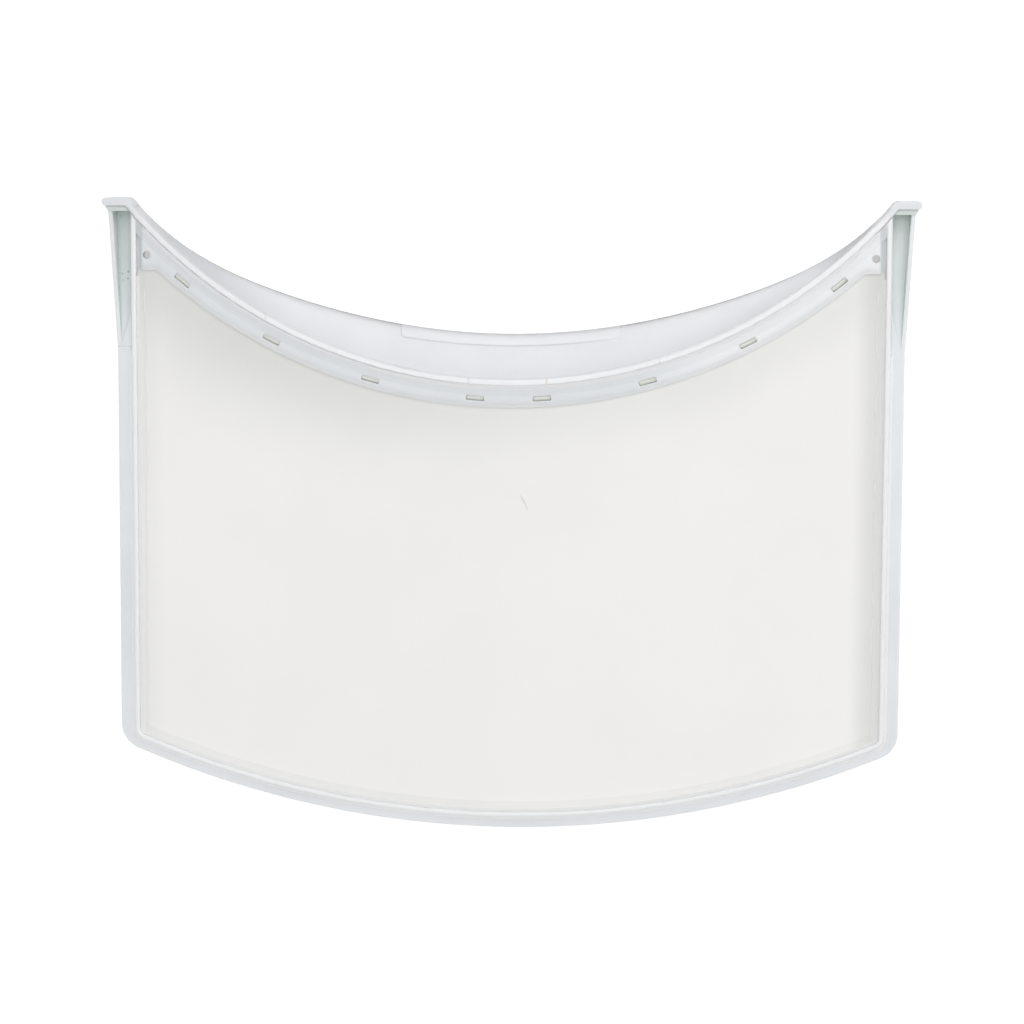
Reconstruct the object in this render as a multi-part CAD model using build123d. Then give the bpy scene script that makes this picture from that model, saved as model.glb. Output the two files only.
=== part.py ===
from build123d import *
import math
import os

# Dryer lint filter: a moulded screen frame, a woven mesh welded on its ledge, and a handle that clips on.
# It lies on its back. +X is to the right, +Y towards the handle, +Z out of the screen's lint side.
# The origin is at the middle of the box's underside. Millimetres and degrees.

# Frame outline
BODY_WIDTH = 347.2
OVERALL_LENGTH = 280.0
BOTTOM_RISE = 37.0
CORNER_RADIUS = 12.0

# Frame section, from the back edge at Z 0 to the rim's crest
RIM_HEIGHT = 17.0
RIM_WALL = 2.4
RIM_ROUND = 1.1
RIM_FOOT_WIDTH = 1.2
RIM_FOOT_HEIGHT = 0.6
FLANGE_WIDTH = 6.3
BOTTOM_FLANGE_WIDTH = 4.8
FLANGE_THICKNESS = 2.0
FLANGE_FACE = 15.2
FLANGE_ROUND = 0.7
LEDGE_WIDTH = 3.5
BOTTOM_LEDGE_WIDTH = 4.0
LEDGE_THICKNESS = 2.6
LEDGE_FACE = 14.6

# Top wall under the handle's lip, and the slotted strip at its foot
TOP_WALL_FOOT = 4.4
TOP_WALL_HEIGHT = 16.6
STRIP_WIDTH = 5.2
STRIP_FACE = 15.8
STRIP_END_GAP = 2.2
CORNER_TAB_WIDTH = 5.6
CORNER_TAB_ROUND = 2.0
HOLE_DIAMETER = 3.4
HOLE_FROM_RIM = 4.6
HOLE_ABOVE_EDGE = 6.6

# Snap slots, counted out from the middle on each side
SLOTS_PER_SIDE = 4
SLOT_FIRST_ANGLE = 3.7
SLOT_PITCH_ANGLE = 11.8
SLOT_LENGTH = 8.0
SLOT_HEIGHT = 2.2
SLOT_ROUND = 0.5
SLOT_BELOW_FOOT = 0.3

# Side gussets and the pockets inside them
GUSSET_LENGTH = 61.9
GUSSET_FLARE = 3.7
GUSSET_WALL = 1.8
GUSSET_FRONT_RISE = 0.6
POCKET_FLOOR = 5.0
POCKET_CAP = 2.2
POCKET_CAP_PROUD = 0.8
POCKET_CAP_FLARE = 1.2
POCKET_TIP_LENGTH = 22.0
POCKET_TIP_BULGE = 1.2

# Mesh
MESH_THICKNESS = 0.4
MESH_GRIP = 2.0
MESH_BORDER_GAP = 0.1
MESH_CLEARANCE = 0.05

# Handle
LIP_DIP = 78.9
LIP_END_INSET = 4.7
LIP_HEIGHT = 3.0
LIP_DEPTH = 7.0
LIP_PROUD = 1.0
LIP_ROUND = 0.8
LIP_UPSTAND = 1.2
TAB_REACH = 6.2
TAB_THICKNESS = 3.6
TAB_ROUND = 1.7
TAB_BEND_ROUND = 3.0
SHELF_END_INSET = 5.1
SHELF_END_DROP = 0.3
SHELF_NECK_INSET = 25.6
SHELF_SHOULDER_INSET = 72.6
SHELF_NECK_RISE = 1.9
SHELF_SHOULDER_RISE = 11.9
SHELF_RISE = 19.2
SHELF_START = 1.0
SHELF_SCOOP = 0.30
SHELF_FRONT_WALL = 1.5
SHELF_MIDDLE_WALL = 2.4
SHELF_BACK_WALL = 3.6
PAD_HALF_WIDTH = 48.5
PAD_HEIGHT = 5.0
PAD_RAISE = 0.5
PAD_ROUND = 2.0
HOOK_THICKNESS = 2.2
HOOK_CLEARANCE = 0.4
BARB_CLEARANCE = 0.1
BARB_RECESS = 0.8
HANDLE_CLEARANCE = 0.1

# Places that follow from the sizes above
TOP = OVERALL_LENGTH / 2
BOTTOM = -OVERALL_LENGTH / 2
HALF_BODY = BODY_WIDTH / 2


def radius_from(half_chord, rise):
    """Radius of the arc that spans the chord with that rise."""
    return (half_chord ** 2 + rise ** 2) / (2 * rise)


BOTTOM_RADIUS = radius_from(HALF_BODY, BOTTOM_RISE)
BOTTOM_CENTRE = BOTTOM + BOTTOM_RADIUS
LIP_HALF_CHORD = HALF_BODY - LIP_END_INSET
LIP_RADIUS = radius_from(LIP_HALF_CHORD, LIP_DIP)
LIP_CENTRE = TOP - LIP_DIP + LIP_RADIUS
LIP_UNDER_RADIUS = LIP_RADIUS + LIP_HEIGHT
LIP_FACE = RIM_HEIGHT + LIP_PROUD
WALL_TOP_RADIUS = LIP_UNDER_RADIUS + HANDLE_CLEARANCE
WALL_FOOT_RADIUS = WALL_TOP_RADIUS + TOP_WALL_FOOT
STRIP_EDGE_RADIUS = WALL_FOOT_RADIUS + STRIP_WIDTH
RIM_OUTER_X = HALF_BODY - FLANGE_WIDTH
RIM_INNER_X = RIM_OUTER_X - RIM_WALL
CORNER_TAB_X = RIM_INNER_X - LEDGE_WIDTH - CORNER_TAB_WIDTH
CORNER_TAB_EDGE = LIP_CENTRE - math.sqrt(STRIP_EDGE_RADIUS ** 2 - CORNER_TAB_X ** 2)
LEDGE_BACK = LEDGE_FACE - LEDGE_THICKNESS
FLANGE_BACK = FLANGE_FACE - FLANGE_THICKNESS
TAB_UNDERSIDE = TOP - TAB_THICKNESS
SHOULDER_TOP = TAB_UNDERSIDE - HANDLE_CLEARANCE
SHOULDER_BOTTOM = SHOULDER_TOP - GUSSET_LENGTH
SHOULDER_X = HALF_BODY - SHELF_SHOULDER_INSET
MESH_BACK = LEDGE_FACE + MESH_CLEARANCE
MESH_FRONT = MESH_BACK + MESH_THICKNESS
SLOT_RADIUS = WALL_FOOT_RADIUS + SLOT_BELOW_FOOT + SLOT_HEIGHT / 2
SLOT_ANGLES = [
    side * (SLOT_FIRST_ANGLE + SLOT_PITCH_ANGLE * step)
    for side in (-1, 1)
    for step in range(SLOTS_PER_SIDE)
]
SPAN = 2 * BODY_WIDTH


def below(y):
    """A large face that covers everything below a height in plan."""
    return Pos(0, y - SPAN / 2) * Rectangle(2 * SPAN, SPAN)


def lip_disc(radius):
    """The disc about the lip's centre, which the frame and the lip lie outside of."""
    return Pos(0, LIP_CENTRE) * Circle(radius)


def panel(side_inset, bottom_inset, top_radius):
    """The panel's outline in plan, drawn in from the flange's edge, with the lip's arc along its top."""
    half = HALF_BODY - side_inset
    arc_radius = BOTTOM_RADIUS - bottom_inset
    side_bottom = BOTTOM_CENTRE - math.sqrt(arc_radius ** 2 - half ** 2)
    side_top = LIP_CENTRE - math.sqrt(top_radius ** 2 - half ** 2)
    outline = [
        Line((-half, side_top), (-half, side_bottom)),
        ThreePointArc((-half, side_bottom), (0, BOTTOM_CENTRE - arc_radius), (half, side_bottom)),
        Line((half, side_bottom), (half, side_top)),
        ThreePointArc((half, side_top), (0, LIP_CENTRE - top_radius), (-half, side_top)),
    ]
    face = make_face(outline)
    return fillet(face.vertices().sort_by(Axis.Y)[:2], max(CORNER_RADIUS - side_inset, RIM_WALL))


def inside_flange(inset, top_radius):
    """The panel's outline drawn in from the rim's outer face."""
    return panel(FLANGE_WIDTH + inset, BOTTOM_FLANGE_WIDTH + inset, top_radius)


def screen_outline(side_inset, bottom_inset, grip):
    """An outline inside the rim, reaching under the strip by the grip, cut off below the corner tabs."""
    window = panel(side_inset, bottom_inset, STRIP_EDGE_RADIUS - grip) & below(CORNER_TAB_EDGE + grip)
    return fillet(window.vertices().sort_by(Axis.Y)[-4:], CORNER_TAB_ROUND + grip)


def mesh_outline(clearance):
    """The mesh's border in plan, over the ledge and under the strip, grown by a clearance."""
    reach = RIM_WALL + MESH_BORDER_GAP - clearance
    return screen_outline(FLANGE_WIDTH + reach, BOTTOM_FLANGE_WIDTH + reach, MESH_GRIP + clearance)


def layer(face, bottom, top):
    """A plate with that plan, from one height to another."""
    return extrude(Pos(0, 0, bottom) * face, top - bottom)


def at_slot(angle, radius, z=0):
    """A place on the strip, with X along the arc and Y pointing at the lip's centre."""
    return Pos(0, LIP_CENTRE, z) * Rot(0, 0, angle) * Pos(0, -radius, 0)


def both_sides(shape):
    """The right-hand feature and its mirror image."""
    return [shape, mirror(shape, about=Plane.YZ)]


def make_rim():
    """The upright wall along the sides and the bottom, with a rounded crest, and the ledge inside it."""
    inner = inside_flange(RIM_WALL, WALL_TOP_RADIUS)
    wall = layer(inside_flange(0, WALL_TOP_RADIUS) - inner, 0, RIM_HEIGHT)
    crest = wall.faces().sort_by(Axis.Z)[-1].edges().sort_by(Axis.Y)[:-2]
    ledge_inset = FLANGE_WIDTH + RIM_WALL + LEDGE_WIDTH
    bottom_inset = BOTTOM_FLANGE_WIDTH + RIM_WALL + BOTTOM_LEDGE_WIDTH
    window = screen_outline(ledge_inset, bottom_inset, 0)
    ledge = layer(inner - window, LEDGE_BACK, LEDGE_FACE)
    between_ends = Pos(0, TOP) * Rectangle(2 * (RIM_INNER_X - STRIP_END_GAP), SPAN)
    under_lip = lip_disc(STRIP_EDGE_RADIUS) + Pos(0, CORNER_TAB_EDGE + SPAN / 2) * Rectangle(SPAN, SPAN)
    strip = layer((inner & between_ends & under_lip) - window, LEDGE_BACK, STRIP_FACE)
    return fillet(crest, RIM_ROUND) + ledge + strip


def make_rim_foot():
    """The slope between the flange and the rim's outer face."""
    base = Pos(0, 0, FLANGE_FACE) * inside_flange(-RIM_FOOT_WIDTH, WALL_TOP_RADIUS)
    taper = math.degrees(math.atan2(RIM_FOOT_WIDTH, RIM_FOOT_HEIGHT))
    foot = extrude(base, RIM_FOOT_HEIGHT, taper=taper)
    foot &= layer(below(SHOULDER_BOTTOM - GUSSET_WALL), 0, RIM_HEIGHT)
    return foot - layer(inside_flange(RIM_WALL / 2, WALL_TOP_RADIUS), 0, RIM_HEIGHT)


def make_top_slope():
    """The slope that rises from the strip to the lip's underside, turned about the lip's centre."""
    profile = make_face(
        Polyline(
            (WALL_TOP_RADIUS, 0, LEDGE_FACE),
            (WALL_TOP_RADIUS, 0, TOP_WALL_HEIGHT),
            (WALL_FOOT_RADIUS, 0, STRIP_FACE),
            (WALL_FOOT_RADIUS, 0, LEDGE_FACE),
            close=True,
        )
    )
    half_angle = math.degrees(math.asin(RIM_OUTER_X / WALL_TOP_RADIUS))
    turned = revolve(profile, Axis.Z, 2 * half_angle)
    slope = Pos(0, LIP_CENTRE, 0) * Rot(0, 0, -90 - half_angle) * turned
    return slope & layer(inside_flange(RIM_WALL / 2, WALL_TOP_RADIUS), 0, RIM_HEIGHT)


def make_flange():
    """The outer flange along both sides and the bottom, rounded along its border."""
    plate = layer(panel(0, 0, WALL_TOP_RADIUS) & below(SHOULDER_BOTTOM), FLANGE_BACK, FLANGE_FACE)
    border = plate.faces().sort_by(Axis.Z)[-1].edges().sort_by(Axis.Y)[:-1]
    return fillet(border, FLANGE_ROUND) - layer(inside_flange(0, WALL_TOP_RADIUS), 0, RIM_HEIGHT)


def gusset_x(y):
    """The gusset's outer face at a height in plan."""
    return HALF_BODY + GUSSET_FLARE * (y - SHOULDER_BOTTOM) / GUSSET_LENGTH


def shoulder_slab(back, front):
    """The flange's thickness drawn out along the shoulder, to other heights at the shoulder's top."""
    side = make_face(
        Polyline(
            (SHOULDER_BOTTOM, FLANGE_BACK),
            (SHOULDER_BOTTOM, FLANGE_FACE),
            (SHOULDER_TOP, front),
            (SHOULDER_TOP, back),
            close=True,
        )
    )
    return extrude(Plane.YZ * side, SPAN)


def make_shoulder():
    """The right gusset: a flared wall, and the flange bending back beside it to leave an open pocket."""
    root = RIM_OUTER_X - RIM_WALL / 2
    outer_bottom = (gusset_x(SHOULDER_BOTTOM), SHOULDER_BOTTOM)
    outer_top = (gusset_x(SHOULDER_TOP), SHOULDER_TOP)
    plan = make_face(
        Polyline((root, SHOULDER_BOTTOM), outer_bottom, outer_top, (root, SHOULDER_TOP), close=True)
    )
    tip_y = SHOULDER_BOTTOM + GUSSET_WALL
    tip = (gusset_x(tip_y) - GUSSET_WALL, tip_y)
    cap_y = SHOULDER_TOP - POCKET_CAP
    inner_top = (gusset_x(cap_y) - GUSSET_WALL, cap_y)
    rim_top = (RIM_OUTER_X, cap_y)
    rim_foot = (RIM_OUTER_X, tip_y + POCKET_TIP_LENGTH)
    bulge = ((tip[0] + rim_foot[0]) / 2 - POCKET_TIP_BULGE, (tip[1] + rim_foot[1]) / 2)
    pocket = make_face(
        [Line(tip, inner_top), Line(inner_top, rim_top), Line(rim_top, rim_foot),
         ThreePointArc(rim_foot, bulge, tip)]
    )
    face_bits = layer(plan - pocket, FLANGE_BACK, FLANGE_FACE)
    wall_front = FLANGE_FACE + GUSSET_FRONT_RISE
    wall_plan = plan - Pos(-GUSSET_WALL, 0) * plan
    wall = layer(wall_plan, 0, RIM_HEIGHT) & shoulder_slab(0, wall_front)
    ramp = layer(plan, 0, RIM_HEIGHT) & shoulder_slab(POCKET_FLOOR - FLANGE_THICKNESS, POCKET_FLOOR)
    cap_end = (gusset_x(SHOULDER_TOP) + POCKET_CAP_FLARE, SHOULDER_TOP)
    cap_plan = make_face(
        Polyline((root, cap_y), (gusset_x(cap_y), cap_y), cap_end, (root, SHOULDER_TOP), close=True)
    )
    cap = layer(cap_plan, 0, wall_front + POCKET_CAP_PROUD)
    return face_bits + wall + ramp + cap


def make_screen_frame():
    """The whole frame moulding, with its slots, holes and the groove under the strip for the mesh."""
    frame = make_rim() + make_top_slope() + make_flange() + make_rim_foot()
    for shoulder in both_sides(make_shoulder()):
        frame += shoulder - layer(inside_flange(RIM_WALL, WALL_TOP_RADIUS), 0, RIM_HEIGHT)
    frame -= layer(lip_disc(WALL_TOP_RADIUS), 0, RIM_HEIGHT)
    slot = Box(SLOT_LENGTH, SLOT_HEIGHT, 2 * STRIP_FACE)
    slot = fillet(slot.edges().filter_by(Axis.Z), SLOT_ROUND)
    for angle in SLOT_ANGLES:
        frame -= at_slot(angle, SLOT_RADIUS, LEDGE_BACK) * slot
    hole_x = RIM_INNER_X - HOLE_FROM_RIM
    hole_y = CORNER_TAB_EDGE + HOLE_ABOVE_EDGE
    hole = Pos(hole_x, hole_y, LEDGE_BACK) * Cylinder(HOLE_DIAMETER / 2, 2 * STRIP_FACE)
    for each in both_sides(hole):
        frame -= each
    return frame - layer(mesh_outline(MESH_CLEARANCE), LEDGE_FACE, MESH_FRONT + MESH_CLEARANCE)


def make_mesh():
    """The woven sheet, laid over the ledge on three sides and held under the strip along its top."""
    return layer(mesh_outline(0), MESH_BACK, MESH_FRONT)


def lip_y(x):
    """The lip's upper border in plan."""
    return LIP_CENTRE - math.sqrt(LIP_RADIUS ** 2 - x ** 2)


def shelf_section(blend, z, drop, wall):
    """One upright slice of the shelf: a strip between the lip's curve (blend 0) and the back edge (1)."""
    half_curve = [
        (HALF_BODY - SHELF_END_INSET, -SHELF_END_DROP),
        (HALF_BODY - SHELF_NECK_INSET, SHELF_NECK_RISE),
        (SHOULDER_X, SHELF_SHOULDER_RISE),
    ]
    mirrored = [(-x, rise) for x, rise in half_curve]
    stations = mirrored + [(0, SHELF_RISE)] + half_curve[::-1]
    top_points = [(x, lip_y(x) + blend * rise - drop) for x, rise in stations]
    low_points = [(x, y - wall) for x, y in top_points]
    outline = [
        Spline(top_points),
        Line(top_points[-1], low_points[-1]),
        Spline(low_points[::-1]),
        Line(low_points[0], top_points[0]),
    ]
    return Pos(0, 0, z) * make_face(outline)


def make_shelf():
    """The scooped shelf, lofted from behind the lip to the back edge."""
    front = LIP_FACE - SHELF_START
    return loft(
        [
            shelf_section(0, front, LIP_UPSTAND, SHELF_FRONT_WALL),
            shelf_section(SHELF_SCOOP, front / 2, LIP_UPSTAND * (1 - SHELF_SCOOP), SHELF_MIDDLE_WALL),
            shelf_section(1, 0, 0, SHELF_BACK_WALL),
        ]
    )


def make_pad(shelf):
    """The raised grip pad along the middle of the back edge."""
    back_middle = lip_y(0) + SHELF_RISE
    back_shoulder = lip_y(SHOULDER_X) + SHELF_SHOULDER_RISE
    radius = radius_from(SHOULDER_X, back_shoulder - back_middle)
    disc = Pos(0, back_middle + radius) * Circle(radius + PAD_HEIGHT)
    window = disc & (Pos(0, TOP - LIP_DIP) * Rectangle(2 * PAD_HALF_WIDTH, 2 * LIP_DIP))
    window = fillet(window.vertices().sort_by(Axis.Y)[:2], PAD_ROUND)
    raised = Pos(0, 0, PAD_RAISE) * shelf
    return raised & layer(window, 0, LIP_FACE)


def make_lip():
    """The bead along the shelf's front and the tab at each end."""
    above_frame = lip_disc(LIP_UNDER_RADIUS) - lip_disc(LIP_RADIUS)
    lip = layer(above_frame & below(TOP - TAB_ROUND), LIP_FACE - LIP_DEPTH, LIP_FACE)
    crest = lip.faces().sort_by(Axis.Z)[-1]
    lip = fillet(crest.edges().filter_by(GeomType.CIRCLE), LIP_ROUND)
    tab_length = HALF_BODY + TAB_REACH
    tab_plan = Pos(tab_length / 2, TOP - TAB_THICKNESS / 2) * Rectangle(tab_length, TAB_THICKNESS)
    tab_plan -= lip_disc(LIP_RADIUS)
    tab_plan = fillet(tab_plan.vertices().sort_by(Axis.X)[-2:], TAB_ROUND)
    bend = tab_plan.vertices().sort_by(Axis.Y)[-2:].sort_by(Axis.X)[0]
    tab_plan = fillet(bend, TAB_BEND_ROUND)
    tab = layer(tab_plan, 0, LIP_FACE)
    for each in both_sides(tab):
        lip += each
    return lip


def make_hook(angle, shelf):
    """A snap hook: an arm hanging from the shelf behind the strip, with a barb in the slot."""
    arm_front = LEDGE_BACK - HOOK_CLEARANCE
    hook_width = SLOT_LENGTH - 2 * BARB_CLEARANCE
    barb_height = SLOT_HEIGHT - 2 * BARB_CLEARANCE
    foot_radius = SLOT_RADIUS + SLOT_HEIGHT / 2
    arm_length = foot_radius - LIP_RADIUS + LIP_DIP
    arm_place = Pos(0, arm_length / 2, arm_front - HOOK_THICKNESS / 2)
    arm = arm_place * Box(hook_width, arm_length, HOOK_THICKNESS)
    hanging = (at_slot(angle, foot_radius) * arm - shelf).solids()
    slot_place = at_slot(angle, SLOT_RADIUS)
    arm = min(hanging, key=lambda piece: (piece.center() - slot_place.position).length)
    barb_front = STRIP_FACE - BARB_RECESS
    barb = layer(RectangleRounded(hook_width, barb_height, SLOT_ROUND - BARB_CLEARANCE), arm_front, barb_front)
    lead_in = make_face(
        Polyline(
            (-barb_height / 2, barb_front - barb_height / 2),
            (-barb_height / 2, barb_front),
            (0, barb_front),
            close=True,
        )
    )
    barb -= extrude(Plane.YZ * lead_in, hook_width, both=True)
    return arm + slot_place * barb


def make_handle():
    """The whole handle moulding."""
    shelf = make_shelf()
    handle = shelf + make_lip() + make_pad(shelf)
    for angle in SLOT_ANGLES:
        handle += make_hook(angle, shelf)
    return handle


os.makedirs("parts", exist_ok=True)
for name, solid in (
    ("screen_frame", make_screen_frame()),
    ("filter_mesh", make_mesh()),
    ("handle", make_handle()),
):
    export_step(solid, f"parts/{name}.step")
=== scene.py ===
import math
from collections import namedtuple

import bpy
from mathutils import Matrix, Vector, noise
from mathutils.bvhtree import BVHTree


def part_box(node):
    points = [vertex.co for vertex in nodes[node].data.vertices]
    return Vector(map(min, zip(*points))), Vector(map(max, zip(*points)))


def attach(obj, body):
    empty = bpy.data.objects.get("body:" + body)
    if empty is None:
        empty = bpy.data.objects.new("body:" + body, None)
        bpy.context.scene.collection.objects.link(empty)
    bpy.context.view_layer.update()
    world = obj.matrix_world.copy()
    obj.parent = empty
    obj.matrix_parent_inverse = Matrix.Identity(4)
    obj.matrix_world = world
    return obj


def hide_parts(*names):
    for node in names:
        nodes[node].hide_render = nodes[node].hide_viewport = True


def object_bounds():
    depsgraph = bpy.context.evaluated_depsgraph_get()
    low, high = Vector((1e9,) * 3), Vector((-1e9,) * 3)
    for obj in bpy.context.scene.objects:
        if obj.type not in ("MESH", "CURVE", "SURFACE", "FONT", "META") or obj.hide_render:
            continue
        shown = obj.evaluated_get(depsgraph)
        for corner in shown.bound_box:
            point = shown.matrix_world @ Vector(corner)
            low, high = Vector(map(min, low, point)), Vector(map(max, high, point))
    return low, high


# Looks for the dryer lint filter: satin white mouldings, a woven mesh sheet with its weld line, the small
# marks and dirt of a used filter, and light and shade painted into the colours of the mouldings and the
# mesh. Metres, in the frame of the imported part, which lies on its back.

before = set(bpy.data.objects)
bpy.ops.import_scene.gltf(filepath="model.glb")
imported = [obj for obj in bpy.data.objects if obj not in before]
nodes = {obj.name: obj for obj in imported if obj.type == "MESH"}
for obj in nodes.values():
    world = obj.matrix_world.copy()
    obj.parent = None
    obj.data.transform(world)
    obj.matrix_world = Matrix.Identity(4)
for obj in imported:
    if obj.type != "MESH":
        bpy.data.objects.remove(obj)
cad_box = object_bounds()

MM = 0.001
UP = Vector((0, 0, 1))

# A coat of paint: its linear colour, and the share of the colour below that it covers
Coat = namedtuple("Coat", "colour share")

# A square lamp aimed at the part: its place, its side and its power in watts
Lamp = namedtuple("Lamp", "place size power")

# A round speck: its place in the photograph's pixels, and its radius
Speck = namedtuple("Speck", "pixel radius")

# Camera: turned a little off the vertical, as fitted to the photograph's outline
PHOTO_SIZE = 1024
FOCAL_PIXELS = 3111.1
SENSOR_WIDTH = 36.0
CLIP_END = 100.0
CAMERA_DISTANCE = 1.4
CAMERA_TILT = math.radians(6.4126)
CAMERA_YAW = math.radians(-3.1125)
CAMERA_ROLL = math.radians(-0.5904)
CAMERA_AIM = Vector((0.00015, -0.0599, 0.0))
CAMERA_SHIFT = Vector((-0.001001, -0.060, 0.0))

# Light: soft from all round and from above, with a weak key from the upper right
SKY_LIGHT = 0.70
HORIZON_LIGHT = 0.30
SURROUND_LIGHT = 1.0
TOP_LIGHT = Lamp((0.1, 0.05, 2.2), 1.8, 19.0)
KEY_LIGHT = Lamp((0.75, 1.05, 0.9), 0.6, 4.0)
WHITE = (1, 1, 1, 1)
FLOOR_SIZE = 12.0
FLOOR_GLOW = 0.5
FLOOR_COLOUR = (0.78, 0.78, 0.78)
FLOOR_GAP = 0.1 * MM

# Colours, linear
FRAME_COLOUR = (0.735, 0.752, 0.77)
HANDLE_COLOUR = (0.88, 0.89, 0.92)
MESH_COLOUR = (0.86, 0.853, 0.842)
MESH_THREAD_COLOUR = (0.89, 0.883, 0.872)
WELD_COLOUR = (0.80, 0.798, 0.79)
BEAD_COLOUR = (0.78, 0.782, 0.78)
# Painted light: the lip fillet is paler than the frame, like the painted light below the lip
FILLET_LIGHT_COLOUR = (0.86, 0.875, 0.89)
FLASH_COLOUR = (0.88, 0.88, 0.87)
FIBRE_COLOUR = (0.62, 0.50, 0.45)
# Painted light and shade: the first colour below is laid over the frame as light, the others as shade in
# its pockets, at the handle's shelf ends and on the mesh
PAINTED_LIGHT_COLOUR = (0.93, 0.935, 0.94)
POCKET_SHADE_COLOUR = (0.60, 0.675, 0.635)
SHELF_SHADE_COLOUR = (0.55, 0.565, 0.58)
MESH_SHADE_COLOUR = (0.50, 0.52, 0.49)

# Coats on the frame: a tint on its upper part, painted light, painted shade and dirt specks
UPPER_COAT = Coat((0.72, 0.759, 0.773), 0.5)
SLOPE_LIGHT_COAT = Coat(PAINTED_LIGHT_COLOUR, 0.7)
CREST_HIGHLIGHT_COAT = Coat((0.87, 0.87, 0.87), 0.5)
RIGHT_STRIP_LIGHT_COAT = Coat(PAINTED_LIGHT_COLOUR, 0.42)
UNDER_LIP_LIGHT_COAT = Coat(PAINTED_LIGHT_COLOUR, 0.8)
GROOVE_SHADE_COAT = Coat((0.56, 0.59, 0.60), 0.8)
POCKET_SHADE_COAT = Coat(POCKET_SHADE_COLOUR, 0.7)
POCKET_CAP_SHADE_COAT = Coat(POCKET_SHADE_COLOUR, 0.75)
DIRT_COAT = Coat((0.22, 0.24, 0.20), 0.55)

# Coats on the handle: painted shade, tones for the lip and tabs, and rub and tan marks
CREASE_SHADE_COAT = Coat((0.68, 0.69, 0.715), 0.6)
SHELF_LEFT_SHADE_COAT = Coat(SHELF_SHADE_COLOUR, 0.6)
SHELF_RIGHT_SHADE_COAT = Coat(SHELF_SHADE_COLOUR, 0.95)
LIP_COAT = Coat((0.845, 0.85, 0.865), 0.9)
LIP_LEFT_SHADE_COAT = Coat(SHELF_SHADE_COLOUR, 0.14)
TAB_COAT = Coat((0.70, 0.715, 0.73), 0.8)
BARB_SHADE_COAT = Coat((0.77, 0.79, 0.73), 0.9)
RUB_COAT = Coat((0.50, 0.53, 0.54), 0.25)
TAN_COAT = Coat((0.55, 0.45, 0.32), 0.35)

# Coats of painted shade on the mesh: a patch below the strip's left part, a band along the strip, and
# bands along both side edges
UPPER_LEFT_SHADE_COAT = Coat(MESH_SHADE_COLOUR, 0.33)
STRIP_EDGE_SHADE_COAT = Coat(MESH_SHADE_COLOUR, 0.2)
RIGHT_EDGE_SHADE_COAT = Coat(MESH_SHADE_COLOUR, 0.4)
LEFT_EDGE_SHADE_COAT = Coat(MESH_SHADE_COLOUR, 0.14)

# Moulded surface
PLASTIC_ROUGHNESS = (0.37, 0.50)
PLASTIC_IOR = 1.49
EDGE_ROUND = 0.18 * MM
EDGE_SAMPLES = 6
MOTTLE_SCALE = 28.0
MOTTLE_DETAIL = 4.0
MOTTLE_RANGE = (0.35, 0.65)
MOTTLE_DARK = 0.965
GRAIN_SCALE = 1800.0
GRAIN_DETAIL = 3.0
GRAIN_DEPTH = 0.02 * MM
GRAIN_STRENGTH = 0.6
GLOW_SHARE = 0.8
GLOW_DEPTH = 2.5 * MM
GLOW_BALANCE = (1.0, 1.0, 1.0)

# Melted plastic and the fibre
MELT_SCALE = 350.0
MELT_DETAIL = 3.0
MELT_DARK = 0.94
MELT_ROUGHNESS = 0.35
FUZZ_SCALE = 900.0
FUZZ_DETAIL = 2.0
FUZZ_PALE = 1.25
FUZZ_ROUGHNESS = 0.85
FIBRE_RADIUS = 0.09 * MM
FIBRE_LIFT = 0.1 * MM
FIBRE_ROUND = 2
FIBRE_ORDER = 3

# Woven mesh: its threads are a wave texture, which repeats every WAVE_PERIOD at a scale of 1
THREAD_PITCH = 0.42 * MM
THREAD_DEPTH = 0.05 * MM
THREAD_STRENGTH = 0.35
WAVE_PERIOD = math.tau / 20
CLOUD_SCALE = 18.0
CLOUD_DETAIL = 5.0
CLOUD_RANGE = (0.40, 0.62)
CLOUD_SHARE = 0.4
CLOUD_DARK = 0.985
MESH_ROUGHNESS = 0.8
MESH_GLOSS = 0.2

# Mesh sheet
SHEET_COLUMNS = 190
SHEET_ROWS = 140
BORDER_STEPS = 6
LEDGE_COVER = 3.4 * MM
BOTTOM_COVER = 4.5 * MM
TOP_COVER = 2.0 * MM
SHEET_SLACK = 0.35 * MM
SLACK_LENGTH = 70 * MM
SLACK_EDGE = 18 * MM
SLACK_LAYER = 0.0
RIPPLE_SHARE = 0.4
RIPPLE_LENGTH = 28 * MM
RIPPLE_LAYER = 1.0
EDGE_TRIM = 0.001 * MM
FLAT_WITHIN = 0.01 * MM
PLACE_DIGITS = 7

# Weld bead and weld flash along the mesh's border
WELD_STEP = 0.8 * MM
BEAD_WIDTH = 1.4 * MM
BEAD_HEIGHT = 0.5 * MM
BEAD_REACH = 0.12 * MM
FLASH_HEIGHT = 0.1 * MM
FLASH_WIDTH = 0.45 * MM
FLASH_THIN = 0.3
FLASH_SWELL = 0.4
FLASH_WAVE = 0.9 * MM
FLASH_WAVE_LENGTH = 7 * MM
FLASH_WAVE_LAYER = 0.5
FLASH_SWELL_LAYER = 2.5

# The middle of the handle's arc, and the factors that flatten a place to its plan
ARC_CENTRE = Vector((0.0, 281.3 * MM, 0.0))
IN_PLAN = (1, 1, 0)

# The frame's fillet below the handle's lip
LIP_EDGE = 223.0 * MM
FILLET_WIDTH = 1.25 * MM
FILLET_RISE = 0.75 * MM
FILLET_STEPS = 200
PROBE_ABOVE = 1 * MM

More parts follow.
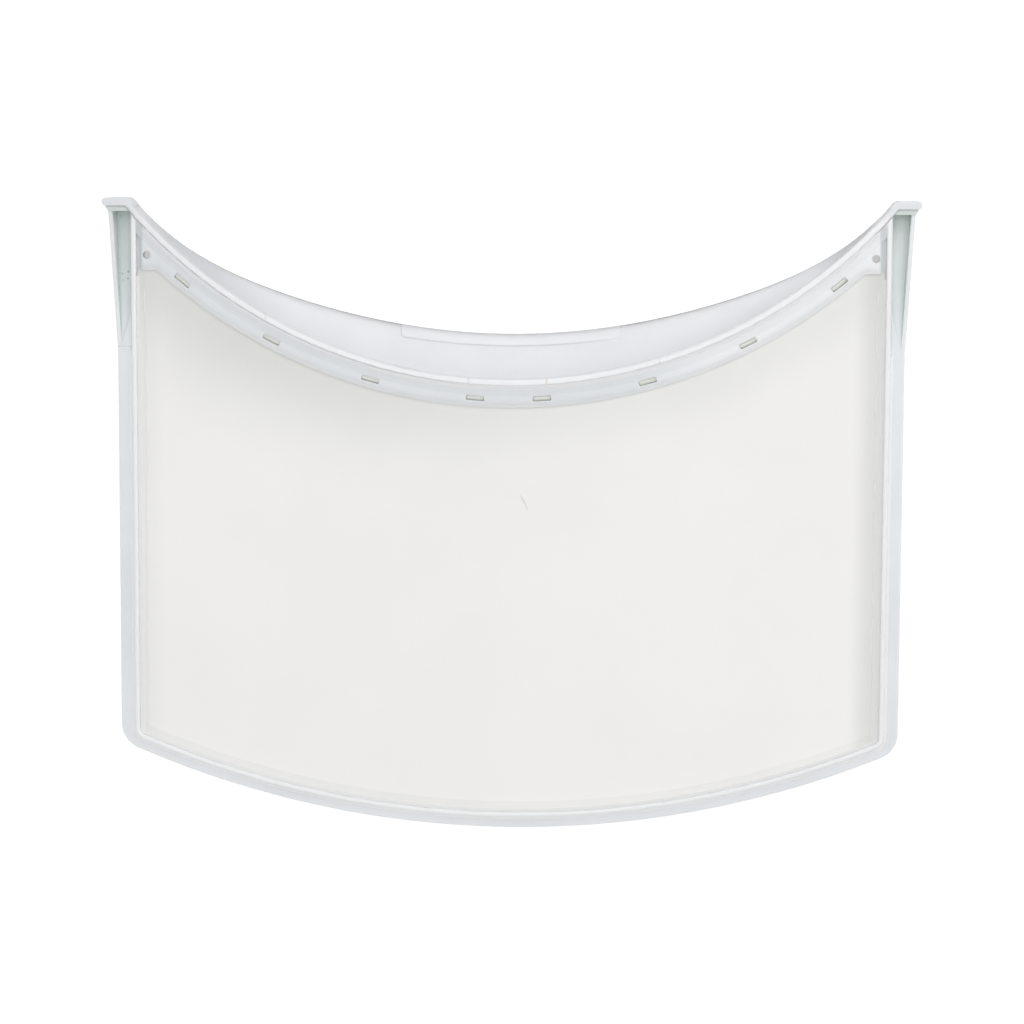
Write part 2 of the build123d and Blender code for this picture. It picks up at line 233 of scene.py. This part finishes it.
# Where paint starts and where it is full, or where it is full and where it ends
UPPER_START = (20 * MM, 60 * MM)
STRIP_ZONE = (236 * MM, 250 * MM)
STRIP_RIGHT = (52 * MM, 92 * MM)
STRIP_SIDE = (160 * MM, 190 * MM)
UNDER_LIP = (224.2 * MM, 225.2 * MM)
HOOK_BARBS = (226.0 * MM, 227.0 * MM)
BARBS_BELOW = (118 * MM, 122 * MM)
GROOVE_INSIDE = (161.4 * MM, 162.6 * MM)
GROOVE_OUTSIDE = (164.4 * MM, 165.2 * MM)
GROOVE_START = (78 * MM, 92 * MM)
POCKET_SIDE = (166.8 * MM, 167.4 * MM)
POCKET_START = (74 * MM, 84 * MM)
POCKET_CAP = (133.6 * MM, 134.2 * MM)
PAD_ZONE = (210 * MM, 214 * MM)
PAD_RIGHT_END = (22 * MM, 46 * MM)
SHELF_LEFT_END = (-152 * MM, -90 * MM)
SHELF_RIGHT_END = (130 * MM, 152 * MM)
# Where the painted shade on the mesh lies
SHADE_BELOW_STRIP = (235 * MM, 285 * MM)
SHADE_TOWARDS_LEFT = (-150 * MM, 60 * MM)
SHADE_STRIP_EDGE = (232 * MM, 262 * MM)
SHADE_RIGHT_EDGE = (150 * MM, 161 * MM)
SHADE_LEFT_EDGE = (-162 * MM, -152 * MM)

# The same, measured down from the top of a piece
CREST_BELOW = (0.9 * MM, 0.3 * MM)
TABS_BELOW = (12 * MM, 4 * MM)

# The same, for how far a face looks up and for how open a hollow is
SLOPE_FACING = (0.88, 0.98)
POCKET_REACH = 9 * MM
POCKET_OPEN = (0.25, 0.70)
CREASE_REACH = 1.2 * MM
CREASE_OPEN = (0.70, 0.97)
HOLLOW_SAMPLES = 8

# Marks, placed by the photograph's pixels
POCKET_SPECKS = (
    Speck((128.0, 271.0), 0.75 * MM),
    Speck((127.5, 278.0), 0.6 * MM),
    Speck((122.0, 273.0), 0.5 * MM),
    Speck((122.5, 279.5), 0.4 * MM),
    Speck((119.6, 272.0), 0.35 * MM),
)
SPECK_CORE = 0.35
LIP_MARKS = ((265, 315), (468, 380), (659, 361))
TAN_MARK = (546, 380)
MARK_HALF_LENGTH = 2.2 * MM
MARK_HALF_WIDTH = 0.6 * MM
MARK_CORE = 0.6
FIBRE_PIXELS = ((520, 495), (523, 500), (525, 503), (527, 509))


def camera_axes():
    """The turn that takes the part's frame to the camera's."""
    turn = Matrix.Rotation(CAMERA_ROLL, 3, "Z")
    turn = turn @ Matrix.Rotation(CAMERA_YAW, 3, "Y") @ Matrix.Rotation(CAMERA_TILT, 3, "X")
    return turn.transposed()


def make_camera():
    """The camera at the photograph's viewing angle."""
    axes = camera_axes()
    data = bpy.data.cameras.new("camera")
    data.sensor_width = SENSOR_WIDTH
    data.lens = FOCAL_PIXELS / PHOTO_SIZE * SENSOR_WIDTH
    data.clip_end = CLIP_END
    camera = bpy.data.objects.new("camera", data)
    bpy.context.scene.collection.objects.link(camera)
    camera.matrix_world = axes.to_4x4()
    camera.location = axes @ (CAMERA_DISTANCE * UP - CAMERA_SHIFT) + CAMERA_AIM
    bpy.context.scene.camera = camera
    return camera


def where_met(node_name, start, direction):
    """Where a line first meets a node."""
    mesh = nodes[node_name].data
    tree = BVHTree.FromPolygons([v.co for v in mesh.vertices], [p.vertices for p in mesh.polygons])
    return tree.ray_cast(start, direction)[0]


def on_surface(camera, node_name, pixel):
    """Where the line through a pixel of the photograph first meets a node."""
    middle = (PHOTO_SIZE - 1) / 2
    across = (pixel[0] - middle) / FOCAL_PIXELS
    up = (middle - pixel[1]) / FOCAL_PIXELS
    direction = camera_axes() @ Vector((across, up, -1)).normalized()
    return where_met(node_name, camera.location, direction)


# Shader nodes

def new_material(name):
    """An empty node material with its surface shader linked to the output."""
    material = bpy.data.materials.new(name)
    material.use_nodes = True
    tree = material.node_tree
    tree.nodes.clear()
    output = tree.nodes.new("ShaderNodeOutputMaterial")
    shader = tree.nodes.new("ShaderNodeBsdfPrincipled")
    tree.links.new(shader.outputs["BSDF"], output.inputs["Surface"])
    return material, tree, shader


def add_node(tree, kind, inputs=None, **settings):
    """A node with its settings, and its inputs set to a value or linked to a socket."""
    node = tree.nodes.new(kind)
    for key, value in settings.items():
        setattr(node, key, value)
    for key, value in (inputs or {}).items():
        if isinstance(value, bpy.types.NodeSocket):
            tree.links.new(value, node.inputs[key])
        else:
            node.inputs[key].default_value = value
    return node


def mix_colour(tree, share, first, second):
    """The colour that is the first at share 0 and the second at share 1."""
    node = add_node(tree, "ShaderNodeMix", data_type="RGBA")
    sockets = {s.name: s for s in node.inputs if s.enabled}
    for name, value in (("Factor", share), ("A", first), ("B", second)):
        if isinstance(value, bpy.types.NodeSocket):
            tree.links.new(value, sockets[name])
        else:
            sockets[name].default_value = (*value, 1)
    return [s for s in node.outputs if s.enabled][0]


def math_node(tree, operation, first, second=0.0):
    """A Math node's result."""
    node = add_node(tree, "ShaderNodeMath", {0: first, 1: second}, operation=operation)
    return node.outputs[0]


def vector_node(tree, operation, first, second):
    """A Vector Math node."""
    return add_node(tree, "ShaderNodeVectorMath", {0: first, 1: second}, operation=operation)


def object_place(tree):
    """The place on the part, in metres."""
    return add_node(tree, "ShaderNodeTexCoord").outputs["Object"]


def along_axis(tree, place, axis):
    """A place's distance along one axis."""
    return add_node(tree, "ShaderNodeSeparateXYZ", {0: place}).outputs[axis]


def from_arc(tree, place):
    """The distance from the middle of the handle's arc, in plan."""
    flat = vector_node(tree, "MULTIPLY", place, IN_PLAN).outputs["Vector"]
    return vector_node(tree, "DISTANCE", flat, ARC_CENTRE).outputs["Value"]


def clouds(tree, place, scale, detail):
    """Soft noise."""
    node = add_node(tree, "ShaderNodeTexNoise", {"Vector": place, "Scale": scale, "Detail": detail})
    return node.outputs["Fac"]


def openness(tree, reach):
    """1 on an open face, and less the more a hollow closes round it within reach."""
    node = add_node(tree, "ShaderNodeAmbientOcclusion", {"Distance": reach}, samples=HOLLOW_SAMPLES)
    return node.outputs["AO"]


# Masks

def fade(tree, value, start, end):
    """1 below start, 0 above end, and smooth between them."""
    inputs = {"Value": value, "From Min": start, "From Max": end, "To Min": 1.0, "To Max": 0.0}
    node = add_node(tree, "ShaderNodeMapRange", inputs, interpolation_type="SMOOTHSTEP")
    return node.outputs["Result"]


def outside(tree, mask):
    """1 where a mask is 0."""
    return math_node(tree, "SUBTRACT", 1.0, mask)


def beyond(tree, value, start, end):
    """0 below start, 1 above end, and smooth between them."""
    return outside(tree, fade(tree, value, start, end))


def both(tree, first, second):
    """1 where two masks are 1."""
    return math_node(tree, "MULTIPLY", first, second)


def near_top(tree, value, top, below):
    """1 at the top of a piece, starting and full at two distances below it."""
    start, full = below
    return beyond(tree, value, top - start, top - full)


def spot(tree, place, centre, radius):
    """A soft round spot about a point."""
    distance = vector_node(tree, "DISTANCE", place, centre).outputs["Value"]
    return fade(tree, distance, radius * SPECK_CORE, radius)


def stroke(tree, place, centre):
    """A short soft stroke through a point, along Y."""
    offset = vector_node(tree, "SUBTRACT", place, centre).outputs["Vector"]
    masks = []
    for axis, reach in (("X", MARK_HALF_WIDTH), ("Y", MARK_HALF_LENGTH)):
        size = math_node(tree, "ABSOLUTE", along_axis(tree, offset, axis))
        masks.append(fade(tree, size, reach * MARK_CORE, reach))
    return both(tree, *masks)


# Materials

def scaled(colour, factor):
    """A colour made darker or paler by a factor."""
    return tuple(factor * c for c in colour)


def paint(tree, shader, mask, coat):
    """Lays a coat over a shader's base colour where the mask is 1."""
    below = shader.inputs["Base Color"].links[0].from_socket
    share = math_node(tree, "MULTIPLY", mask, coat.share)
    tree.links.new(mix_colour(tree, share, below, coat.colour), shader.inputs["Base Color"])


def moulded_plastic(name, colour):
    """Satin moulded plastic: faint mottling, a fine grain and rounded edges."""
    material, tree, shader = new_material(name)
    place = object_place(tree)
    mottle = clouds(tree, place, MOTTLE_SCALE, MOTTLE_DETAIL)
    shade = fade(tree, mottle, *MOTTLE_RANGE)
    base = mix_colour(tree, shade, scaled(colour, MOTTLE_DARK), colour)
    smooth, dull = PLASTIC_ROUGHNESS
    rough = add_node(tree, "ShaderNodeMapRange", {"Value": mottle, "To Min": smooth, "To Max": dull})
    edge = add_node(tree, "ShaderNodeBevel", {"Radius": EDGE_ROUND}, samples=EDGE_SAMPLES)
    bump = add_node(tree, "ShaderNodeBump", {
        "Height": clouds(tree, place, GRAIN_SCALE, GRAIN_DETAIL),
        "Distance": GRAIN_DEPTH,
        "Strength": GRAIN_STRENGTH,
        "Normal": edge.outputs["Normal"],
    })
    tree.links.new(base, shader.inputs["Base Color"])
    tree.links.new(rough.outputs["Result"], shader.inputs["Roughness"])
    tree.links.new(bump.outputs["Normal"], shader.inputs["Normal"])
    shader.inputs["IOR"].default_value = PLASTIC_IOR
    shader.inputs["Subsurface Weight"].default_value = GLOW_SHARE
    shader.inputs["Subsurface Radius"].default_value = GLOW_BALANCE
    shader.inputs["Subsurface Scale"].default_value = GLOW_DEPTH
    return material, tree, shader, place


def frame_plastic(camera):
    """The frame's plastic: slopes, crests, its strip's right part and the seam below the lip painted paler
    as light, the groove and green-grey pockets painted with shade, and dirt specks.
    """
    material, tree, shader, place = moulded_plastic("frame_plastic", FRAME_COLOUR)
    x, y, z = (along_axis(tree, place, axis) for axis in "XYZ")
    side = math_node(tree, "ABSOLUTE", x)
    distance = from_arc(tree, place)
    facing = along_axis(tree, add_node(tree, "ShaderNodeNewGeometry").outputs["True Normal"], "Z")
    strip = both(tree, fade(tree, distance, *STRIP_ZONE), fade(tree, side, *STRIP_SIDE))
    groove = both(tree, beyond(tree, side, *GROOVE_INSIDE), fade(tree, side, *GROOVE_OUTSIDE))
    beside_rim = beyond(tree, side, *POCKET_SIDE)
    pocket = both(tree, fade(tree, openness(tree, POCKET_REACH), *POCKET_OPEN), beside_rim)
    paint(tree, shader, beyond(tree, y, *UPPER_START), UPPER_COAT)
    # Painted light: steep faces, the crests, the strip's right part and the seam below the lip made paler
    paint(tree, shader, fade(tree, facing, *SLOPE_FACING), SLOPE_LIGHT_COAT)
    paint(tree, shader, near_top(tree, z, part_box("screen_frame")[1].z, CREST_BELOW), CREST_HIGHLIGHT_COAT)
    paint(tree, shader, both(tree, strip, beyond(tree, x, *STRIP_RIGHT)), RIGHT_STRIP_LIGHT_COAT)
    paint(tree, shader, fade(tree, distance, *UNDER_LIP), UNDER_LIP_LIGHT_COAT)
    # Painted shade: the groove beside the rim, the hollows of the pockets and the cap above each pocket
    paint(tree, shader, both(tree, groove, beyond(tree, y, *GROOVE_START)), GROOVE_SHADE_COAT)
    paint(tree, shader, both(tree, pocket, beyond(tree, y, *POCKET_START)), POCKET_SHADE_COAT)
    paint(tree, shader, both(tree, beside_rim, beyond(tree, y, *POCKET_CAP)), POCKET_CAP_SHADE_COAT)
    for speck in POCKET_SPECKS:
        centre = on_surface(camera, "screen_frame", speck.pixel)
        paint(tree, shader, spot(tree, place, centre, speck.radius), DIRT_COAT)
    return material


def handle_plastic(camera):
    """The handle's plastic: greyer tabs, painted shade in its creases, at the shelf ends, on the lip's
    left end and on the barbs, and the rub marks across its lip.
    """
    material, tree, shader, place = moulded_plastic("handle_plastic", HANDLE_COLOUR)
    x, y, z = (along_axis(tree, place, axis) for axis in "XYZ")
    distance = from_arc(tree, place)
    _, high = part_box("handle")
    lip = near_top(tree, z, high.z, CREST_BELOW)
    tabs = near_top(tree, y, high.y, TABS_BELOW)
    shelf = outside(tree, math_node(tree, "MAXIMUM", lip, tabs))
    left_end = fade(tree, x, *SHELF_LEFT_END)
    right_end = beyond(tree, x, *SHELF_RIGHT_END)
    pad_end = both(tree, fade(tree, distance, *PAD_ZONE), beyond(tree, x, *PAD_RIGHT_END))
    creased = math_node(tree, "MAXIMUM", math_node(tree, "SUBTRACT", shelf, pad_end), 0.0)
    barbs = both(tree, beyond(tree, distance, *HOOK_BARBS), fade(tree, y, *BARBS_BELOW))
    crease = fade(tree, openness(tree, CREASE_REACH), *CREASE_OPEN)
    # Painted shade in the shelf's creases and at both ends of the shelf
    paint(tree, shader, both(tree, crease, creased), CREASE_SHADE_COAT)
    paint(tree, shader, both(tree, left_end, shelf), SHELF_LEFT_SHADE_COAT)
    paint(tree, shader, both(tree, right_end, shelf), SHELF_RIGHT_SHADE_COAT)
    paint(tree, shader, lip, LIP_COAT)
    # Painted shade on the lip's left end
    paint(tree, shader, both(tree, left_end, lip), LIP_LEFT_SHADE_COAT)
    paint(tree, shader, tabs, TAB_COAT)
    # Painted shade on the barbs, which sit deep in the frame's slots
    paint(tree, shader, barbs, BARB_SHADE_COAT)
    marks = [(pixel, RUB_COAT) for pixel in LIP_MARKS] + [(TAN_MARK, TAN_COAT)]
    for pixel, coat in marks:
        centre = on_surface(camera, "handle", pixel)
        paint(tree, shader, both(tree, stroke(tree, place, centre), lip), coat)
    return material


def thread_waves(tree, place, axis):
    """The weave's threads that run across one axis, as a height from 0 to 1."""
    inputs = {"Vector": place, "Scale": WAVE_PERIOD / THREAD_PITCH, "Distortion": 0.0}
    return add_node(tree, "ShaderNodeTexWave", inputs, bands_direction=axis).outputs["Fac"]


def mesh_fabric(name, colour, thread_colour):
    """The fine woven screen: two sets of threads, faint clouding, and painted shade along its edges and
    below the strip.
    """
    material, tree, shader = new_material(name)
    place = object_place(tree)
    height = math_node(tree, "MAXIMUM", thread_waves(tree, place, "X"), thread_waves(tree, place, "Y"))
    cloud = fade(tree, clouds(tree, place, CLOUD_SCALE, CLOUD_DETAIL), *CLOUD_RANGE)
    woven = mix_colour(tree, height, colour, thread_colour)
    tree.links.new(woven, shader.inputs["Base Color"])
    paint(tree, shader, cloud, Coat(scaled(colour, CLOUD_DARK), CLOUD_SHARE))
    x = along_axis(tree, place, "X")
    distance = from_arc(tree, place)
    # Painted shade: a broad patch below the strip's left part, a band along the strip, and bands along
    # both side edges
    shade_patch = both(tree, fade(tree, distance, *SHADE_BELOW_STRIP), fade(tree, x, *SHADE_TOWARDS_LEFT))
    paint(tree, shader, shade_patch, UPPER_LEFT_SHADE_COAT)
    paint(tree, shader, fade(tree, distance, *SHADE_STRIP_EDGE), STRIP_EDGE_SHADE_COAT)
    paint(tree, shader, beyond(tree, x, *SHADE_RIGHT_EDGE), RIGHT_EDGE_SHADE_COAT)
    paint(tree, shader, fade(tree, x, *SHADE_LEFT_EDGE), LEFT_EDGE_SHADE_COAT)
    inputs = {"Height": height, "Distance": THREAD_DEPTH, "Strength": THREAD_STRENGTH}
    bump = add_node(tree, "ShaderNodeBump", inputs)
    tree.links.new(bump.outputs["Normal"], shader.inputs["Normal"])
    shader.inputs["Roughness"].default_value = MESH_ROUGHNESS
    shader.inputs["Specular IOR Level"].default_value = MESH_GLOSS
    return material


def melted_plastic(name, colour):
    """Plain or melted plastic of the small trims: uneven in tone and a little waxy."""
    material, tree, shader = new_material(name)
    cloud = clouds(tree, object_place(tree), MELT_SCALE, MELT_DETAIL)
    base = mix_colour(tree, cloud, scaled(colour, MELT_DARK), colour)
    tree.links.new(base, shader.inputs["Base Color"])
    shader.inputs["Roughness"].default_value = MELT_ROUGHNESS
    return material


def fibre_thread():
    """A stray lint fibre, pinkish and fuzzy in tone."""
    material, tree, shader = new_material("fibre_thread")
    tone = clouds(tree, object_place(tree), FUZZ_SCALE, FUZZ_DETAIL)
    base = mix_colour(tree, tone, FIBRE_COLOUR, scaled(FIBRE_COLOUR, FUZZ_PALE))
    tree.links.new(base, shader.inputs["Base Color"])
    shader.inputs["Roughness"].default_value = FUZZ_ROUGHNESS
    return material


# Pieces

def new_piece(name, points, faces, material):
    """A mesh object from its points and faces."""
    mesh = bpy.data.meshes.new(name)
    mesh.from_pydata(points, [], faces)
    mesh.validate()
    mesh.update()
    piece = bpy.data.objects.new(name, mesh)
    bpy.context.scene.collection.objects.link(piece)
    mesh.materials.append(material)
    return piece


def front_outline(node):
    """The node's outline at its front face, as an ordered ring of places in plan."""
    mesh = node.data
    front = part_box(node.name)[1].z
    places = {}
    for vertex in mesh.vertices:
        if abs(vertex.co.z - front) < FLAT_WITHIN:
            places[vertex.index] = (round(vertex.co.x, PLACE_DIGITS), round(vertex.co.y, PLACE_DIGITS))
    uses = {}
    for polygon in mesh.polygons:
        if all(i in places for i in polygon.vertices):
            ring = [places[i] for i in polygon.vertices]
            for a, b in zip(ring, ring[1:] + ring[:1]):
                uses[frozenset((a, b))] = uses.get(frozenset((a, b)), 0) + 1
    neighbours = {}
    for edge, count in uses.items():
        if count == 1:
            a, b = tuple(edge)
            neighbours.setdefault(a, []).append(b)
            neighbours.setdefault(b, []).append(a)
    ring = [min(neighbours)]
    while True:
        onward = [p for p in neighbours[ring[-1]] if p not in ring[-2:]]
        if not onward or onward[0] == ring[0]:
            return [Vector(p) for p in ring]
        ring.append(onward[0])


def span_at(ring, x):
    """The lowest and highest place of the ring on a line across it."""
    heights = []
    for a, b in zip(ring, ring[1:] + ring[:1]):
        low, high = min(a.x, b.x), max(a.x, b.x)
        if low <= x <= high and high > low:
            heights.append(a.y + (b.y - a.y) * (x - a.x) / (b.x - a.x))
    return min(heights), max(heights)


def wave_at(x, y, layer, length):
    """Smooth random waves about a length apart, unlike in each layer."""
    return noise.noise(Vector((x, y, layer)) / length)


def slack(x, y, edge):
    """How far the mesh bows from flat: nothing at its held edge, and gentle waves inside."""
    held = min(1.0, edge / SLACK_EDGE)
    wave = wave_at(x, y, SLACK_LAYER, SLACK_LENGTH)
    ripple = RIPPLE_SHARE * wave_at(x, y, RIPPLE_LAYER, RIPPLE_LENGTH)
    return SHEET_SLACK * held * held * (wave + ripple)


def spaced(low, high, border_low, border_high, count):
    """Places from low to high, in even steps over each border and over what lies between them."""
    start, end = low + border_low, high - border_high
    runs = ((low, start, BORDER_STEPS), (start, end, count), (end, high, BORDER_STEPS))
    return [a + (b - a) * i / steps for a, b, steps in runs for i in range(steps)] + [high]


def make_sheet(ring, mesh_material, weld_material):
    """The mesh sheet: a grid between the outline's lower and upper borders, bowed a little."""
    low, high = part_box("filter_mesh")
    middle = (low.z + high.z) / 2
    left, right = min(p.x for p in ring), max(p.x for p in ring)
    points = []
    for x in spaced(left + EDGE_TRIM, right - EDGE_TRIM, LEDGE_COVER, LEDGE_COVER, SHEET_COLUMNS):
        bottom, top = span_at(ring, x)
        for y in spaced(bottom, top, BOTTOM_COVER, TOP_COVER, SHEET_ROWS):
            edge = min(x - left, right - x, y - bottom, top - y)
            points.append((x, y, middle + slack(x, y, edge)))
    columns, rows = SHEET_COLUMNS + 2 * BORDER_STEPS, SHEET_ROWS + 2 * BORDER_STEPS
    step = rows + 1
    faces, welded = [], []
    for c in range(columns):
        for r in range(rows):
            faces.append((c * step + r, (c + 1) * step + r, (c + 1) * step + r + 1, c * step + r + 1))
            welded.append(min(c, columns - 1 - c, r) < BORDER_STEPS)
    sheet = new_piece("mesh_sheet", points, faces, mesh_material)
    sheet.data.materials.append(weld_material)
    for polygon, is_welded in zip(sheet.data.polygons, welded):
        polygon.material_index = int(is_welded)
        polygon.use_smooth = True
    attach(sheet, "root")
    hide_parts("filter_mesh")


def resample(ring, step):
    """The ring as evenly spaced places."""
    closed = ring + ring[:1]
    lengths = [0.0]
    for a, b in zip(closed, closed[1:]):
        lengths.append(lengths[-1] + (b - a).length)
    count = round(lengths[-1] / step)
    places, segment = [], 0
    for i in range(count):
        at = lengths[-1] * i / count
        while lengths[segment + 1] < at:
            segment += 1
        share = (at - lengths[segment]) / (lengths[segment + 1] - lengths[segment])
        places.append(closed[segment].lerp(closed[segment + 1], share))
    return places


def anticlockwise(ring):
    """The ring in the order that keeps its inside on the left."""
    turning = sum(a.x * b.y - b.x * a.y for a, b in zip(ring, ring[1:] + ring[:1]))
    return ring if turning > 0 else ring[::-1]


def make_swept(name, runs, material):
    """A closed piece swept through runs of three-point sections, each from left to right over its top."""
    points, faces = [], []
    for run in runs:
        first = len(points)
        for section in run:
            points.extend(section)
        for i in range(len(run) - 1):
            a, b = first + 3 * i, first + 3 * (i + 1)
            for u, v in ((0, 1), (1, 2), (2, 0)):
                faces.append((a + u, a + v, b + v, b + u))
        last = len(points) - 3
        faces.append((first, first + 2, first + 1))
        faces.append((last, last + 1, last + 2))
    piece = new_piece(name, points, faces, material)
    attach(piece, "root")


def make_flash(ring, material):
    """The wavy line of weld flash on the mesh, along the ledge's edge on both sides."""
    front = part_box("filter_mesh")[1].z
    low = front - FLASH_HEIGHT / 2
    left, right = min(p.x for p in ring), max(p.x for p in ring)
    places = resample(ring, WELD_STEP)
    runs = []
    for side, inward in ((left, 1), (right, -1)):
        run = []
        for place in sorted((p for p in places if abs(p.x - side) < EDGE_TRIM), key=lambda p: p.y):
            ripple = wave_at(place.x, place.y, FLASH_WAVE_LAYER, FLASH_WAVE_LENGTH)
            swell = abs(wave_at(place.x, place.y, FLASH_SWELL_LAYER, FLASH_WAVE_LENGTH))
            middle = side + inward * (LEDGE_COVER + FLASH_WAVE * ripple)
            half = FLASH_WIDTH * (FLASH_THIN + FLASH_SWELL * swell)
            run.append((
                (middle - half, place.y, low),
                (middle, place.y, front + FLASH_HEIGHT),
                (middle + half, place.y, low),
            ))
        runs.append(run)
    make_swept("weld_flash", runs, material)


def make_weld_bead(ring, material):
    """The small bead of melted plastic that closes the gap between the mesh's border and the rim."""
    low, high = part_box("filter_mesh")
    places = anticlockwise(resample(ring, WELD_STEP))
    count = len(places)
    beside_rim = [abs(p.x) > high.x - EDGE_TRIM or p.y < low.y / 2 for p in places]
    start = next(i for i in range(count) if beside_rim[i] and not beside_rim[i - 1])
    run = []
    for i in range(start, start + count):
        if not beside_rim[i % count]:
            break
        place = places[i % count]
        along = (places[(i + 1) % count] - places[(i - 1) % count]).normalized()
        inward = Vector((-along.y, along.x))
        wall = place - inward * BEAD_REACH
        toe = place + inward * BEAD_WIDTH
        run.append(((*toe, low.z), (*wall, high.z + BEAD_HEIGHT), (*wall, low.z)))
    make_swept("weld_bead", [run], material)


def make_lip_fillet(material):
    """The frame's small fillet below the handle's lip, which closes the seam there."""
    toe_radius = LIP_EDGE + FILLET_WIDTH
    above_toe = Vector((0, ARC_CENTRE.y - toe_radius, cad_box[1].z + PROBE_ABOVE))
    low = where_met("screen_frame", above_toe, -UP).z
    half_angle = math.asin(GROOVE_INSIDE[0] / toe_radius)
    run = []
    for i in range(FILLET_STEPS + 1):
        angle = half_angle * (2 * i / FILLET_STEPS - 1)
        outward = Vector((math.sin(angle), -math.cos(angle), 0))
        foot = ARC_CENTRE + outward * LIP_EDGE + UP * low
        run.append((foot, foot + UP * FILLET_RISE, foot + outward * FILLET_WIDTH))
    make_swept("lip_fillet", [run], material)


def make_fibre(camera, material):
    """A stray fibre lying on the mesh."""
    curve = bpy.data.curves.new("lint_fibre", "CURVE")
    curve.dimensions = "3D"
    curve.bevel_depth = FIBRE_RADIUS
    curve.bevel_resolution = FIBRE_ROUND
    spline = curve.splines.new("NURBS")
    spline.points.add(len(FIBRE_PIXELS) - 1)
    for point, pixel in zip(spline.points, FIBRE_PIXELS):
        place = on_surface(camera, "filter_mesh", pixel) + UP * FIBRE_LIFT
        point.co = (*place, 1)
    spline.order_u = FIBRE_ORDER
    spline.use_endpoint_u = True
    drawn = bpy.data.objects.new("lint_fibre_line", curve)
    bpy.context.scene.collection.objects.link(drawn)
    bpy.context.view_layer.update()
    evaluated = drawn.evaluated_get(bpy.context.evaluated_depsgraph_get())
    mesh = bpy.data.meshes.new_from_object(evaluated)
    bpy.data.objects.remove(drawn)
    fibre = bpy.data.objects.new("lint_fibre", mesh)
    bpy.context.scene.collection.objects.link(fibre)
    mesh.materials.clear()
    mesh.materials.append(material)
    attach(fibre, "root")


# Stage

def add_light(name, lamp):
    """A soft square lamp aimed at the part."""
    data = bpy.data.lights.new(name, "AREA")
    data.size = lamp.size
    data.energy = lamp.power
    light = bpy.data.objects.new(name, data)
    bpy.context.scene.collection.objects.link(light)
    light.location = lamp.place
    light.rotation_euler = (-Vector(lamp.place)).to_track_quat("-Z", "Y").to_euler()


def seen_directly(tree):
    """1 on what the camera sees, straight or through gloss and glass."""
    path = add_node(tree, "ShaderNodeLightPath")
    glossy = math_node(tree, "MAXIMUM", path.outputs["Is Camera Ray"], path.outputs["Is Glossy Ray"])
    return math_node(tree, "MAXIMUM", glossy, path.outputs["Is Transmission Ray"])


def make_floor():
    """A white floor that keeps a faint shadow."""
    material = bpy.data.materials.new("floor")
    material.use_nodes = True
    tree = material.node_tree
    tree.nodes.clear()
    output = tree.nodes.new("ShaderNodeOutputMaterial")
    surface = add_node(tree, "ShaderNodeBsdfDiffuse", {"Color": (*FLOOR_COLOUR, 1)})
    strength = math_node(tree, "MULTIPLY", seen_directly(tree), FLOOR_GLOW)
    glow = add_node(tree, "ShaderNodeEmission", {"Color": WHITE, "Strength": strength})
    seen = add_node(tree, "ShaderNodeAddShader", {0: surface.outputs[0], 1: glow.outputs[0]})
    tree.links.new(seen.outputs[0], output.inputs["Surface"])
    half = FLOOR_SIZE / 2
    below = cad_box[0].z - FLOOR_GAP
    corners = [(-half, -half, below), (half, -half, below), (half, half, below), (-half, half, below)]
    floor = new_piece("floor", corners, [(0, 1, 2, 3)], material)


def make_world():
    """Ambient light that is stronger overhead, with a white surround where it is seen."""
    world = bpy.data.worlds.new("world")
    bpy.context.scene.world = world
    world.use_nodes = True
    tree = world.node_tree
    tree.nodes.clear()
    output = tree.nodes.new("ShaderNodeOutputWorld")
    direction = add_node(tree, "ShaderNodeTexCoord").outputs["Generated"]
    height = along_axis(tree, direction, "Z")
    inputs = {"Value": height, "To Min": HORIZON_LIGHT, "To Max": SKY_LIGHT}
    strength = add_node(tree, "ShaderNodeMapRange", inputs).outputs["Result"]
    light = add_node(tree, "ShaderNodeBackground", {"Color": WHITE, "Strength": strength}).outputs[0]
    inputs = {"Color": WHITE, "Strength": SURROUND_LIGHT}
    surround = add_node(tree, "ShaderNodeBackground", inputs).outputs[0]
    mix = add_node(tree, "ShaderNodeMixShader", {0: seen_directly(tree), 1: light, 2: surround})
    tree.links.new(mix.outputs[0], output.inputs["Surface"])


def dress(node_name, material):
    """Gives a node one material."""
    mesh = nodes[node_name].data
    mesh.materials.clear()
    mesh.materials.append(material)


bpy.context.scene.view_settings.view_transform = "Standard"
camera = make_camera()
dress("screen_frame", frame_plastic(camera))
dress("handle", handle_plastic(camera))
outline = front_outline(nodes["filter_mesh"])
free_mesh = mesh_fabric("mesh_fabric", MESH_COLOUR, MESH_THREAD_COLOUR)
welded_mesh = mesh_fabric("mesh_weld", WELD_COLOUR, MESH_COLOUR)
make_sheet(outline, free_mesh, welded_mesh)
make_flash(outline, melted_plastic("flash_plastic", FLASH_COLOUR))
make_weld_bead(outline, melted_plastic("bead_plastic", BEAD_COLOUR))
make_lip_fillet(melted_plastic("fillet_plastic", FILLET_LIGHT_COLOUR))
make_fibre(camera, fibre_thread())
make_floor()
make_world()
add_light("top_light", TOP_LIGHT)
add_light("key_light", KEY_LIGHT)
